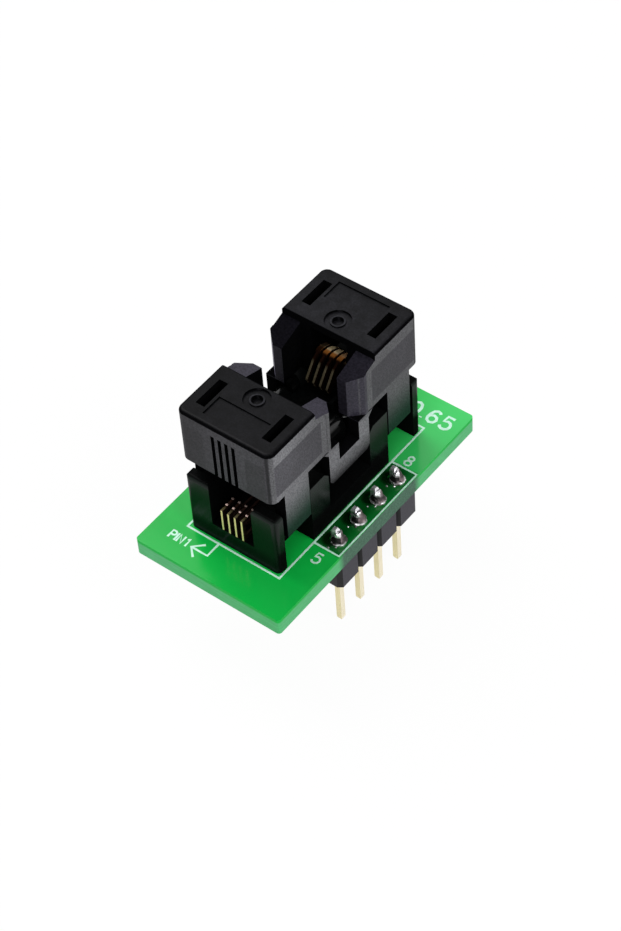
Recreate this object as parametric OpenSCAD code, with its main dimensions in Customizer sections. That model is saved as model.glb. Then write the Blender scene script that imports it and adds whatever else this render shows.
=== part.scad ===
// Open-top test socket for a small eight-lead package, soldered to an adapter board with two rows
// of header pins. Pressing the floating cover down swings the contact arms open.
// Frame: +Z up, the header pins stand on z = 0, the socket is centred on X and Y.
// The front is -Y, where lead 1 is at the left. All sizes are in millimetres.

/* [Board] */
// Length of the adapter board along Y
board_l = 25.6; // [24:0.1:32]
// Width of the adapter board along X
board_w = 14.2; // [14:0.1:20]
// Thickness of the board
board_t = 1.6; // [0.8:0.1:2.4]
// Radius of the board's corners
board_corner_r = 0.3; // [0.2:0.1:1.5]

/* [Header] */
// Spacing of the header pins along a row
pin_pitch = 2.54; // [2.4:0.01:3]
// Spacing of the two rows of header pins
row_spacing = 11.43; // [11:0.01:12]
// Side of a square header pin
pin_w = 0.5; // [0.42:0.01:0.7]
// Length of a pin below its plastic strip
pin_below = 5.8; // [3:0.1:12]
// Height of a pin's end above the board
pin_above = 1.3; // [1.2:0.1:2.4]
// Length of the taper at each end of a pin
pin_taper = 0.25; // [0.2:0.05:0.8]
// Side of the blunt end of a pin
pin_end_w = 0.3; // [0.2:0.01:0.4]
// Height of the plastic strip under the board
strip_h = 2.54; // [1.5:0.01:3.5]
// Width of the plastic strip
strip_w = 2.54; // [2:0.01:2.6]
// Depth of the break notches between the positions of a strip
strip_notch = 0.4; // [0.2:0.05:0.6]
// Half the width of a break notch at its mouth
strip_notch_w = 0.3; // [0.2:0.05:0.5]
// Diameter of the plated holes for the header pins
pin_hole_d = 1.02; // [1:0.01:1.2]
// Diameter of the foot of a solder cone
solder_d = 1.35; // [1.2:0.05:2.2]
// Height of a solder cone
solder_h = 1; // [0.6:0.05:1.2]

/* [Contacts] */
// Spacing of the contacts, the lead pitch of the package
contact_pitch = 0.65; // [0.6:0.01:0.75]
// Thickness of the strip that the contacts are blanked from
contact_t = 0.2; // [0.15:0.01:0.25]
// Distance from the middle of the socket to the pivot of an arm
pivot_y = 3.6; // [3.55:0.01:3.7]
// Height of the pivot of an arm above the board
pivot_z = 5.2; // [5.1:0.01:5.3]
// Radius of the hub that an arm turns on
hub_r = 0.38; // [0.3:0.01:0.45]
// Radial clearance between hub and arm
hub_gap = 0.04; // [0.03:0.01:0.08]
// Width of the ring of an arm round its hub
ring_w = 0.33; // [0.25:0.01:0.36]
// Width of the stem of an arm
stem_w = 0.46; // [0.35:0.01:0.5]
// Width of the finger of an arm
finger_w = 0.38; // [0.3:0.01:0.42]
// Width of the bright loop of an arm along X
loop_w = 0.44; // [0.3:0.01:0.46]
// Width of the tip that presses on a lead
tip_w = 0.3; // [0.2:0.01:0.34]
// Radius of the round nose that the cover pushes on
nose_r = 0.25; // [0.22:0.01:0.28]
// Width of the foot of a contact where it lies on the base
foot_w = 0.5; // [0.3:0.01:0.6]
// Height of the upright end of a contact above the board
upright_h = 4; // [3:0.05:4.2]
// Width of the upright end of a contact
upright_w = 0.35; // [0.25:0.01:0.5]
// Length of the arm at the top of the upright end
hook_back_l = 1.6; // [1:0.05:1.8]
// Width of a solder tail
tail_w = 0.34; // [0.25:0.01:0.4]
// Length of a solder tail below the board
tail_below = 0.6; // [0.4:0.05:1]
// Distance from the middle to the inner row of solder tails
tail_inner_y = 5.6; // [5:0.05:6]
// Spacing of the two staggered rows of solder tails
tail_stagger = 1.5; // [1.1:0.05:1.7]
// Diameter of the plated holes for the tails
tail_hole_d = 0.56; // [0.52:0.01:0.6]

/* [Base] */
// Width of the base along X
base_w = 8.8; // [8.6:0.05:8.9]
// Thickness of the floor of the base
floor_t = 1.75; // [1.2:0.05:2]
// Length of the corner posts along Y
corner_post_l = 0.95; // [0.6:0.05:1.1]
// Radius round the top of the corner posts
post_edge_r = 0.35; // [0.1:0.05:0.5]
// Radius of the upright corners of the base
post_corner = 0.45; // [0.1:0.05:0.6]
// Chamfer of the side posts on the side of the channel
side_post_chamfer = 0.5; // [0.2:0.05:0.8]
// Room beside the outer contacts in the trough of the base
trough_side = 0.975; // [0.6:0.025:1.1]
// Height of the pedestal under the nest
pedestal_h = 6.2; // [6.1:0.05:6.4]
// Half the length of the pedestal along Y
pedestal_y = 2.7; // [2.2:0.05:2.75]
// Diameter of the two pegs that locate the base in the board
peg_d = 1.2; // [0.8:0.05:1.6]
// Spacing of the pegs along X
peg_spacing = 6; // [5:0.1:6.4]

/* [Nest] */
// Height of the seat for the package above the board
seat_h = 8; // [7.8:0.05:8.05]
// Length of the nest along Y
nest_l = 6.4; // [6:0.05:6.6]
// Width of the package that the nest locates
package_w = 3; // [2.6:0.05:3.2]
// Length of the raised pad under the body of the package
pad_l = 3; // [2.6:0.05:3.4]
// Depth of the shelf for the leads below the pad
shelf_drop = 0.1; // [0.05:0.01:0.2]
// Radius of the round shoulders of the nest between the cheeks
shoulder_r = 0.9; // [0.5:0.05:1]
// Clearance on each side of the package
package_gap = 0.06; // [0.03:0.01:0.15]
// Height of the corner guides above the seat
guide_h = 0.9; // [0.5:0.05:1.1]
// Width of a corner guide
guide_w = 0.6; // [0.4:0.05:0.7]
// Distance from the middle to the inner end of a guide
guide_y = 0.9; // [0.6:0.05:1.1]
// Length of a corner guide along Y
guide_l = 0.95; // [0.5:0.05:1]
// Radius of the arched flanks of the nest
arch_r = 3.6; // [3.2:0.1:5]
// Height of the crown of the arched flanks above the board
arch_h = 7.3; // [7:0.05:7.6]
// Diameter of the pegs between pedestal and nest
nest_peg_d = 1; // [0.7:0.05:1.2]
// Height of those pegs
nest_peg_h = 0.6; // [0.4:0.05:0.9]

/* [Cover] */
// Length of the floating cover along Y
cover_l = 18.4; // [18.2:0.05:19]
// Width of the floating cover along X
cover_w = 8.9; // [8.8:0.05:9.2]
// Height of the raised cover's top above the board
cover_h = 13.44; // [13.4:0.01:14.5]
// Height of the raised heads' undersides above the board
head_bottom = 8.1; // [8:0.05:8.3]
// Length of a head along Y
head_l = 5.5; // [5.4:0.05:5.7]
// Thickness of the top of a head
head_top_t = 0.69; // [0.6:0.01:0.75]
// Thickness of the outer wall of a head
head_wall_t = 0.55; // [0.4:0.01:0.6]
// Radius round the top of a head
head_edge_r = 0.33; // [0.1:0.01:0.5]
// Radius of the upright corners of a head
head_corner = 0.7; // [0.5:0.05:0.9]
// Room beside the outer contacts inside a head
cavity_side = 0.675; // [0.4:0.025:0.75]
// Width of the slots for the contacts in the outer wall of a head
comb_slot_w = 0.33; // [0.3:0.01:0.4]
// Height of the top of those slots above the board
comb_slot_top = 12.45; // [11:0.05:12.6]
// Slope of the roof of those slots, as a drop towards the inside
comb_slot_drop = 0.4; // [0.1:0.05:0.6]
// Width of a cheek along X
cheek_w = 1.8; // [1.7:0.05:1.85]
// Distance from the middle to the nose of a cheek
cheek_y = 1.2; // [1.1:0.05:1.4]
// Width of the flat nose of a cheek
cheek_flat = 0.85; // [0.6:0.05:0.95]
// Height of a cheek at its nose above the board
cheek_low = 11.9; // [11.5:0.05:12.2]
// Height of a cheek where it meets its head
cheek_high = 12.75; // [12.4:0.05:12.9]
// Thickness of the side walls and legs
leg_t = 0.91; // [0.8:0.01:0.95]
// Length of an outer leg along Y
leg_l = 2.85; // [2.4:0.05:2.9]
// Distance of an outer leg from the end of its head
leg_set = 1.35; // [1.3:0.05:1.4]
// Height of the snap hook on an outer leg
hook_h = 1.1; // [0.8:0.05:1.3]
// Reach of the snap hook
hook_reach = 0.79; // [0.5:0.01:0.8]
// Width of the core slot over a snap hook
core_slot_w = 0.84; // [0.82:0.01:0.88]
// Distance from the middle to the outer edge of a column
column_y = 2.5; // [2.3:0.05:2.55]
// Width of a column along Y
column_l = 1.25; // [1:0.05:1.3]
// How far a column stands out from the side of a head
column_proud = 0.05; // [0.02:0.01:0.1]
// Height of the bar between the columns
bar_h = 1.95; // [1.5:0.05:2.2]
// Chamfer at the lower ends of the bar
bar_chamfer = 0.35; // [0.1:0.05:0.6]
// Chamfer in the corner of a side window
window_chamfer = 0.55; // [0.2:0.05:0.8]
// Radius of the round dimple in the top of a head
dimple_r = 1.1; // [0.8:0.05:1.2]
// Depth of the dimple
dimple_depth = 0.22; // [0.05:0.01:0.25]
// Radius of the small hole in the dimple
dimple_hole_r = 0.47; // [0.3:0.01:0.6]
// Depth of the small hole below the dimple
dimple_hole_depth = 0.28; // [0.1:0.01:0.3]
// Width of the raised ring round the small hole
dimple_ring_w = 0.16; // [0.1:0.01:0.25]
// Distance from the middle to the dimples
dimple_y = 4.97; // [4.8:0.01:5.1]
// Width of the shallow panel in the top of a head
panel_w = 4.9; // [4:0.05:5.2]
// Length of the panel along Y
panel_l = 2; // [1.5:0.05:2.2]
// Distance from the middle to the inner edge of the panel
panel_y = 6.38; // [6.3:0.01:6.5]
// Depth of the panel
panel_depth = 0.14; // [0.03:0.01:0.2]

/* [Motion] */
// Travel of the cover from raised to pressed
cover_travel = 2; // [1.8:0.05:2]
// Swing of the contact arms over that travel, in degrees
arm_swing = 20.6; // [18:0.1:21]
// Sliding clearance of the cover's legs
slide_gap = 0.1; // [0.06:0.01:0.15]
// Clearance of fixed pieces that are pushed together
fit_gap = 0.02; // [0.01:0.01:0.05]
// Gap under the heads when the cover is pressed
stop_gap = 0.05; // [0.02:0.01:0.1]
// Gap over the side posts when the cover is pressed
window_gap = 0.2; // [0.1:0.05:0.3]
// Gap under the legs when the cover is pressed
leg_gap = 1.25; // [0.2:0.05:1.5]
// Gap under the bar when the cover is pressed
bar_gap = 0.45; // [0.2:0.05:0.6]
// Gap between a snap hook and its ledge when the cover is raised
hook_gap = 0.08; // [0.05:0.01:0.15]
// Clearance between the cam of the cover and the noses of the arms
cam_gap = 0.06; // [0.03:0.01:0.1]

/* [Hidden] */
$fn = 48;
eps = 0.01;
pins_per_row = 4;
pin_count = 2 * pins_per_row;
contacts_per_side = 4;
contact_count = 2 * contacts_per_side;
board_bottom = pin_below + strip_h;
board_top = board_bottom + board_t;
row_l = pins_per_row * pin_pitch;
base_l = cover_l;

// Across X
contact_row_w = (contacts_per_side - 1) * contact_pitch + contact_t;
cavity_x = contact_row_w / 2 + cavity_side;
trough_x = contact_row_w / 2 + trough_side;
head_x = cover_w / 2;
leg_x = head_x - leg_t;
hook_x = leg_x - hook_reach;
column_x = head_x + column_proud;
cheek_x = head_x - cheek_w;
nest_x = cheek_x - 1.5 * slide_gap;
shoulder_x = leg_x - 2 * slide_gap;
rail_x = hook_x - slide_gap;
guide_x = package_w / 2 + package_gap;

// Along Y
head_y = cover_l / 2;
head_in_y = head_y - head_l;
leg_out_y = head_y - leg_set;
leg_in_y = leg_out_y - leg_l;
post_in_y = column_y + slide_gap;
post_out_y = leg_in_y - slide_gap;
corner_y = base_l / 2 - corner_post_l;
shoulder_y = cheek_y - 1.5 * slide_gap;

// Heights above the board
corner_post_h = head_bottom - cover_travel - stop_gap;
side_post_h = head_bottom - cover_travel - window_gap;
leg_bottom = cover_travel + leg_gap;
hook_top = leg_bottom + hook_h;
bar_bottom = floor_t + cover_travel + bar_gap;
cavity_top = cover_h - head_top_t;

// Middle lines of a contact arm, as (y, z) about its pivot
arm_ring_r = hub_r + hub_gap + ring_w;
arm_stem = [[0.45, 0.45], [1.35, 2], [1.65, 3.4]];
arm_loop = [[1.65, 3.4], [1.62, 4.2], [1.4, 4.75], [1, 5.12], [0.55, 5.32], [0.1, 5.36]];
arm_finger = [[0.1, 5.36], [-0.56, 5.02], [-1.5, 3.7]];
arm_tip = [[-1.5, 3.7], [-1.38, 3.25]];
arm_lever = [[0.7, 1], [1.1, 1.4], [3.75, 1.4], [4, 1.65], [4, 2.8]];
nose = arm_lever[len(arm_lever) - 1];
// Angles between which the ring of an arm is open, so that the neck of the contact can pass
ring_open_slack = 40;
ring_open_from = -90 - ring_open_slack;
ring_open_to = -90 + arm_swing + ring_open_slack;
foot_neck_w = 0.36;
bump_r = 0.1;
bump_places = [0.72, 1.45];

// Places of the repeated pieces, numbered anticlockwise from above
function pin_place(n) = n <= pins_per_row
  ? [-row_spacing / 2, ((pins_per_row + 1) / 2 - n) * pin_pitch]
  : [row_spacing / 2, (n - pins_per_row - (pins_per_row + 1) / 2) * pin_pitch];
function contact_side(n) = n <= contacts_per_side ? -1 : 1;
function contact_x(n) = n <= contacts_per_side
  ? (n - (contacts_per_side + 1) / 2) * contact_pitch
  : ((contacts_per_side + 1) / 2 + contacts_per_side - n) * contact_pitch;
function tail_y(n) = tail_inner_y + (n % 2 == 0 ? tail_stagger : 0);

// Place of the nose of an arm, seen from the cover, when the cover has gone down by a share of its travel
function turned(p, a) = [p[0] * cos(a) + p[1] * sin(a), p[1] * cos(a) - p[0] * sin(a)];
function nose_path(share) =
  [pivot_y, pivot_z + share * cover_travel] + turned(nose, share * arm_swing);
function unit(v) = v / norm(v);
function left_of(v) = [-v[1], v[0]];
function cam_point(share) =
  let (step = 0.01)
  let (along = unit(nose_path(share + step) - nose_path(share - step)))
  nose_path(share) + left_of(along) * (nose_r + cam_gap);

// A flat shape in (y, z), made a plate across X
module plate_yz(t) {
  rotate([90, 0, 90]) linear_extrude(height = t, center = true) children();
}

// A flat shape in (x, z), made a plate across Y
module plate_xz(t) {
  rotate([90, 0, 0]) linear_extrude(height = t, center = true) children();
}

// Puts a piece that is drawn for the back at the front or at the back
module at_end(side) {
  if (side > 0) children();
  else mirror([0, 1, 0]) children();
}

module both_ends() {
  children();
  mirror([0, 1, 0]) children();
}

module both_sides() {
  children();
  mirror([1, 0, 0]) children();
}

// A strip of constant width along a bent line, with round bends and ends
module bent_strip(points, w) {
  for (p = points) translate(p) circle(d = w);
  for (i = [0 : len(points) - 2]) {
    run = points[i + 1] - points[i];
    translate(points[i]) rotate(atan2(run[1], run[0])) translate([0, -w / 2]) square([norm(run), w]);
  }
}

module rounded_rectangle(l, w, r) {
  square([w - 2 * r, l], center = true);
  square([w, l - 2 * r], center = true);
  for (x = [-1, 1], y = [-1, 1]) translate([x * (w / 2 - r), y * (l / 2 - r)]) circle(r);
}

// Upright shape with round upper corners
module round_topped(half_w, bottom, top, r) {
  translate([-half_w, bottom]) square([2 * half_w, top - r - bottom]);
  translate([r - half_w, bottom]) square([2 * (half_w - r), top - bottom]);
  for (x = [-1, 1]) translate([x * (half_w - r), top - r]) circle(r);
}

// Block with round upright corners and with a round edge along its top
module soft_block(l, w, bottom, top, corner_r, edge_r) {
  plate_xz(l - 2 * corner_r) round_topped(w / 2, bottom, top, edge_r);
  plate_yz(w - 2 * corner_r) round_topped(l / 2, bottom, top, edge_r);
  for (x = [-1, 1], y = [-1, 1])
    translate([x * (w / 2 - corner_r), y * (l / 2 - corner_r), 0])
    rotate_extrude()
    intersection() {
      round_topped(corner_r, bottom, top, edge_r);
      translate([0, bottom]) square([corner_r, top - bottom]);
    }
}

module board() {
  color("seagreen")
  translate([0, 0, board_bottom])
  difference() {
    linear_extrude(height = board_t) rounded_rectangle(board_l, board_w, board_corner_r);
    for (n = [1 : pin_count])
      translate([each pin_place(n), -eps]) cylinder(d = pin_hole_d, h = board_t + 2 * eps);
    for (n = [1 : contact_count])
      translate([contact_x(n), contact_side(n) * tail_y(n), -eps])
        cylinder(d = tail_hole_d, h = board_t + 2 * eps);
    both_sides()
      translate([peg_spacing / 2, 0, -eps]) cylinder(d = peg_d + 2 * fit_gap, h = board_t + 2 * eps);
  }
}

module header_strip(side) {
  color("#2c2c30")
  translate([side * row_spacing / 2, 0, pin_below])
  linear_extrude(height = strip_h)
  difference() {
    square([strip_w, row_l], center = true);
    for (i = [0 : pins_per_row], x = [-1, 1])
      translate([x * strip_w / 2, i * pin_pitch - row_l / 2])
        polygon([[-x * strip_notch, 0], [0, -strip_notch_w], [x * eps, 0], [0, strip_notch_w]]);
    for (i = [0 : pins_per_row - 1])
      translate([0, (i + 0.5) * pin_pitch - row_l / 2]) square(pin_w + 2 * fit_gap, center = true);
  }
}

module pin_profile() {
  top = board_top + pin_above;
  polygon([
    [-pin_end_w / 2, 0], [pin_end_w / 2, 0], [pin_w / 2, pin_taper], [pin_w / 2, top - pin_taper],
    [pin_end_w / 2, top], [-pin_end_w / 2, top], [-pin_w / 2, top - pin_taper], [-pin_w / 2, pin_taper]
  ]);
}

module header_pin(n) {
  color("#d8c79a")
  translate([each pin_place(n), 0])
  intersection() {
    plate_yz(pin_w) pin_profile();
    plate_xz(pin_w) pin_profile();
  }
}

// Outline of a concave cone of solder, from the foot up to the neck round the pin
function solder_outline(foot_r, neck_r, h, steps = 6) =
  [for (i = [0 : steps]) [neck_r + (foot_r - neck_r) * pow(1 - i / steps, 2), h * i / steps]];

module header_solder() {
  neck_r = pin_w * 0.85;
  color("silver")
  for (n = [1 : pin_count])
    translate([each pin_place(n), board_top])
    difference() {
      union() {
        rotate_extrude()
          polygon(concat([[0, 0]], solder_outline(solder_d / 2, neck_r, solder_h), [[0, solder_h]]));
        translate([0, 0, -board_t]) cylinder(d = pin_hole_d - 2 * fit_gap, h = board_t + eps);
      }
      translate([0, 0, (solder_h - board_t) / 2])
        cube([pin_w + 2 * fit_gap, pin_w + 2 * fit_gap, solder_h + board_t + 4 * eps], center = true);
    }
}

module tail_solder() {
  foot_r = tail_hole_d * 0.8;
  neck_r = tail_w * 0.68;
  cone_h = tail_below * 0.8;
  color("silver")
  for (n = [1 : contact_count])
    translate([contact_x(n), contact_side(n) * tail_y(n), board_bottom])
    difference() {
      mirror([0, 0, 1])
        rotate_extrude()
          polygon(concat([[0, 0]], solder_outline(foot_r, neck_r, cone_h, 4), [[0, cone_h]]));
      cube([contact_t + 2 * fit_gap, tail_w + 2 * fit_gap, 4 * tail_below], center = true);
    }
}

// A corner post, rounded at its top and at its outer upright edge
module corner_post() {
  half_w = (base_w / 2 - trough_x) / 2;
  intersection() {
    linear_extrude(height = corner_post_h) rounded_rectangle(base_l, base_w, post_corner);
    translate([trough_x, corner_y, 0]) cube([base_w, base_l, corner_post_h]);
    translate([trough_x + half_w, 0, 0])
      plate_xz(2 * base_l) round_topped(half_w, 0, corner_post_h, post_edge_r);
    plate_yz(2 * base_w) round_topped(base_l / 2, 0, corner_post_h, post_edge_r);
  }
}

module side_post() {
  c = side_post_chamfer;
  translate([(trough_x + base_w / 2) / 2, 0, 0])
  plate_yz(base_w / 2 - trough_x)
    polygon([[post_in_y, 0], [post_out_y, 0], [post_out_y, side_post_h], [post_in_y + c, side_post_h],
      [post_in_y, side_post_h - c]]);
}

// Side rail of the trough, with the ledge that holds the snap hook
module hook_rail() {
  ledge_bottom = hook_top + hook_gap;
  ledge_x = leg_x - slide_gap;
  translate([trough_x, post_in_y, 0])
    cube([rail_x - trough_x, base_l / 2 - post_in_y - post_edge_r, side_post_h]);
  translate([trough_x, post_out_y - eps, ledge_bottom])
    cube([ledge_x - trough_x, corner_y - post_out_y + 2 * eps, side_post_h - ledge_bottom]);
}

module base_floor() {
  linear_extrude(height = floor_t)
  difference() {
    rounded_rectangle(base_l, base_w, post_corner);
    both_ends() both_sides()
      translate([rail_x, post_out_y]) square([base_w, corner_y - post_out_y]);
    for (n = [1 : contact_count])
      translate([contact_x(n), contact_side(n) * tail_y(n)])
        square([contact_t + 2 * fit_gap, tail_w + 2 * fit_gap], center = true);
  }
}

module socket_base() {
  color("#1b1b1d")
  translate([0, 0, board_top]) {
    base_floor();
    both_ends() both_sides() {
      corner_post();
      side_post();
      hook_rail();
    }
    translate([0, 0, pedestal_h / 2]) cube([2 * nest_x, 2 * pedestal_y, pedestal_h], center = true);
    both_ends()
      translate([0, pedestal_y / 2, pedestal_h - eps]) cylinder(d = nest_peg_d, h = nest_peg_h + eps);
    both_sides() translate([peg_spacing / 2, 0, -board_t]) cylinder(d = peg_d, h = board_t + eps);
  }
}

// Corner guide of the nest, with a sloped lead-in for the package
module nest_guide() {
  top = seat_h + guide_h;
  lead_in = guide_w / 2;
  translate([0, guide_y + guide_l / 2, 0])
  plate_xz(guide_l)
    polygon([[guide_x, pedestal_h], [guide_x + guide_w, pedestal_h], [guide_x + guide_w, top],
      [guide_x + lead_in, top], [guide_x, top - 2 * lead_in]]);
}

// Round shoulder of the nest, which shows through the side of the channel
module nest_shoulder() {
  r = shoulder_r;
  top = seat_h - shelf_drop;
  plate_xz(2 * shoulder_y)
  intersection() {
    union() {
      translate([shoulder_x - r, top - r]) circle(r);
      translate([guide_x, pedestal_h]) square([shoulder_x - r - guide_x, top - pedestal_h]);
      translate([guide_x, pedestal_h]) square([shoulder_x - guide_x, top - r - pedestal_h]);
    }
    translate([guide_x, pedestal_h]) square(seat_h);
  }
}

// Block of the nest, from the top of the pedestal up to a height
module nest_block(half_w, l, top) {
  translate([-half_w, -l / 2, pedestal_h]) cube([2 * half_w, l, top - pedestal_h]);
}

module package_nest() {
  color("#1d1d20")
  translate([0, 0, board_top])
  difference() {
    union() {
      nest_block(package_w / 2, pad_l, seat_h);
      nest_block(package_w / 2, nest_l, seat_h - shelf_drop);
      intersection() {
        nest_block(nest_x, nest_l, seat_h);
        translate([0, 0, arch_h - arch_r]) rotate([0, 90, 0])
          cylinder(r = arch_r, h = 2 * cover_w, center = true);
      }
      both_sides() nest_shoulder();
      both_ends() both_sides() nest_guide();
    }
    both_ends()
      translate([0, pedestal_y / 2, pedestal_h - eps])
        cylinder(d = nest_peg_d + 2 * fit_gap, h = nest_peg_h + fit_gap + eps);
  }
}

// Block of one head, rounded at its top and at its outer corners
module head_block() {
  intersection() {
    translate([-head_x, head_in_y, head_bottom]) cube([cover_w, head_l, cover_h]);
    soft_block(cover_l, cover_w, head_bottom, cover_h, head_corner, head_edge_r);
  }
}

// Cheek beside the channel: a flat nose, a slanted outer corner and a sloped top
module cheek() {
  slant = column_x - cheek_x - cheek_flat;
  slope = (cheek_high - cheek_low) / (head_in_y - cheek_y);
  root_y = head_in_y + head_edge_r;
  intersection() {
    translate([0, 0, head_bottom]) linear_extrude(height = cover_h - head_bottom)
      polygon([[cheek_x, cheek_y], [cheek_x + cheek_flat, cheek_y], [column_x, cheek_y + slant],
        [column_x, column_y], [head_x, column_y + column_proud], [head_x, root_y], [cheek_x, root_y]]);
    plate_yz(4 * head_x)
      polygon([[cheek_y, head_bottom], [root_y, head_bottom],
        [root_y, cheek_high + slope * (root_y - head_in_y)], [cheek_y, cheek_low]]);
  }
}

// Two columns and the bar between them, seen from the side
module column_frame() {
  inner_y = column_y - column_l;
  bar_top = bar_bottom + bar_h;
  b = bar_chamfer;
  c = window_chamfer;
  translate([(leg_x + column_x) / 2, 0, 0])
  plate_yz(column_x - leg_x)
    polygon([
      [-inner_y, head_bottom], [-column_y - c, head_bottom], [-column_y, head_bottom - c],
      [-column_y, bar_bottom + b], [b - column_y, bar_bottom], [column_y - b, bar_bottom],
      [column_y, bar_bottom + b], [column_y, head_bottom - c], [column_y + c, head_bottom],
      [inner_y, head_bottom], [inner_y, bar_top], [-inner_y, bar_top]
    ]);
}

// Outer leg with its snap hook
module outer_leg() {
  lead_in = hook_reach * 0.7;
  translate([0, (leg_in_y + leg_out_y) / 2, 0])
  plate_xz(leg_l)
    polygon([[head_x, head_bottom + eps], [leg_x, head_bottom + eps], [leg_x, hook_top], [hook_x, hook_top],
      [hook_x, leg_bottom + lead_in], [hook_x + lead_in, leg_bottom], [head_x, leg_bottom]]);
}

// Hollow of one head, with the cam over the noses of the arms
module head_cavity() {
  cam_in_y = cam_point(0)[0] - nose_r;
  cam_steps = 6;
  cam_line = [for (i = [0 : cam_steps]) cam_point(i / cam_steps)];
  wall_y = head_y - head_wall_t;
  plate_yz(2 * cavity_x)
    polygon(concat(
      [[head_in_y - eps, head_bottom - eps], [head_in_y - eps, cavity_top], [cam_in_y, cavity_top],
        [cam_in_y, cam_line[0][1]]],
      cam_line,
      [[wall_y, cam_line[cam_steps][1]], [wall_y, head_bottom - eps]]
    ));
}

// Slots for the contacts in the outer wall of a head
module comb_slots() {
  wall_y = head_y - head_wall_t;
  for (n = [1 : contacts_per_side])
    translate([contact_x(n), 0, 0])
    plate_yz(comb_slot_w)
      polygon([[wall_y - head_wall_t, head_bottom - eps], [head_y + eps, head_bottom - eps],
        [head_y + eps, comb_slot_top], [wall_y - head_wall_t, comb_slot_top - comb_slot_drop]]);
}

module core_slots() {
  both_sides()
    translate([leg_x - core_slot_w, leg_in_y, head_bottom - eps])
      cube([core_slot_w, leg_l, cover_h]);
}

// Round dimple with a ringed hole, and the shallow panel beside it
module top_marks() {
  floor_z = cover_h - dimple_depth;
  translate([0, dimple_y, 0]) {
    difference() {
      translate([0, 0, floor_z]) cylinder(r = dimple_r, h = 1);
      translate([0, 0, floor_z - eps]) cylinder(r = dimple_hole_r + dimple_ring_w, h = dimple_depth * 0.6);
    }
    translate([0, 0, floor_z - dimple_hole_depth]) cylinder(r = dimple_hole_r, h = 1);
  }
  translate([-panel_w / 2, panel_y, cover_h - panel_depth]) cube([panel_w, panel_l, 1]);
}

module floating_cover() {
  color("#232326")
  translate([0, 0, board_top])
  difference() {
    union() {
      both_ends() {
        head_block();
        both_sides() {
          cheek();
          outer_leg();
        }
      }
      both_sides() column_frame();
    }
    both_ends() {
      head_cavity();
      comb_slots();
      core_slots();
      top_marks();
    }
  }
}

// Fixed half of a contact: hub, neck, foot on the floor, upright end and solder tail
module contact(n) {
  out_y = base_l / 2 - fit_gap;
  tail_end = -board_t - tail_below;
  color("#c9a13b")
  translate([contact_x(n), 0, board_top])
  at_end(contact_side(n))
  plate_yz(contact_t) {
    translate([pivot_y, pivot_z]) circle(hub_r);
    translate([pivot_y - foot_neck_w / 2, floor_t]) square([foot_neck_w, pivot_z - floor_t]);
    translate([pivot_y - foot_neck_w / 2, floor_t]) square([out_y - pivot_y + foot_neck_w / 2, foot_w]);
    translate([out_y - upright_w, floor_t]) square([upright_w, upright_h - floor_t]);
    translate([out_y - hook_back_l, upright_h - upright_w]) square([hook_back_l, upright_w]);
    for (back = bump_places) translate([out_y - back, upright_h]) circle(bump_r);
    translate([tail_y(n) - tail_w / 2, tail_end]) square([tail_w, floor_t - tail_end + eps]);
  }
}

// Moving half of a contact: a ring on the hub, the stem, the finger over the lead and the lever
module contact_arm(n) {
  color("#c98d45")
  translate([contact_x(n), 0, board_top])
  at_end(contact_side(n))
  translate([0, pivot_y, pivot_z]) {
    plate_yz(contact_t)
    difference() {
      union() {
        circle(arm_ring_r);
        bent_strip(arm_stem, stem_w);
        bent_strip(arm_finger, finger_w);
        bent_strip(arm_tip, tip_w);
        bent_strip(arm_lever, 2 * nose_r);
      }
      circle(hub_r + hub_gap);
      polygon([[0, 0], for (a = [ring_open_from, -90, ring_open_to]) 3 * arm_ring_r * [cos(a), sin(a)]]);
    }
    plate_yz(loop_w) bent_strip(arm_loop, stem_w);
  }
}

board();
header_strip(-1);  // header_strip_left
header_strip(1);  // header_strip_right
header_solder();
tail_solder();
for (n = [1 : pin_count]) {
  header_pin(n);
}
socket_base();
package_nest();
floating_cover();
for (n = [1 : contact_count]) {
  contact(n);
  contact_arm(n);
}
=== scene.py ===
"""Looks of the test socket: finishes on the CAD nodes, printed marks, solder joints and the studio."""

import math

import bpy
from bpy.props import FloatProperty, FloatVectorProperty, PointerProperty
from mathutils import Matrix, Vector


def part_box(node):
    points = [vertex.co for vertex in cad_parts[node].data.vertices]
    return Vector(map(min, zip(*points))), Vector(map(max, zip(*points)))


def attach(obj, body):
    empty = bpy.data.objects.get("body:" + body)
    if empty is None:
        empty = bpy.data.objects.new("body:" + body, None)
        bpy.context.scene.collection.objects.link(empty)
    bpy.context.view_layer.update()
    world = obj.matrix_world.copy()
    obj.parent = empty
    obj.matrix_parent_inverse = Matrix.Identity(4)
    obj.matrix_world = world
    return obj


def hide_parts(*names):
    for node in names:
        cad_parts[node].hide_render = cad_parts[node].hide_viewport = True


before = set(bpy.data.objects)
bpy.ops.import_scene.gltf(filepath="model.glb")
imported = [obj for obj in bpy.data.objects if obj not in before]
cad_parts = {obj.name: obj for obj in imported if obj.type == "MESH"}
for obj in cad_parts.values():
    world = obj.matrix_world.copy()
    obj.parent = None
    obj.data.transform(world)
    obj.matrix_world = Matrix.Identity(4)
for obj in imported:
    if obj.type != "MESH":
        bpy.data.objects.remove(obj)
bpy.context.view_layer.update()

bl_info = {
    "name": "Test socket looks",
    "version": (1, 0, 0),
    "blender": (4, 5, 0),
    "location": "3D View > Sidebar > Test socket",
    "description": "Finishes, printed marks and solder joints for a test socket on an adapter board",
    "category": "Object",
}

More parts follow.
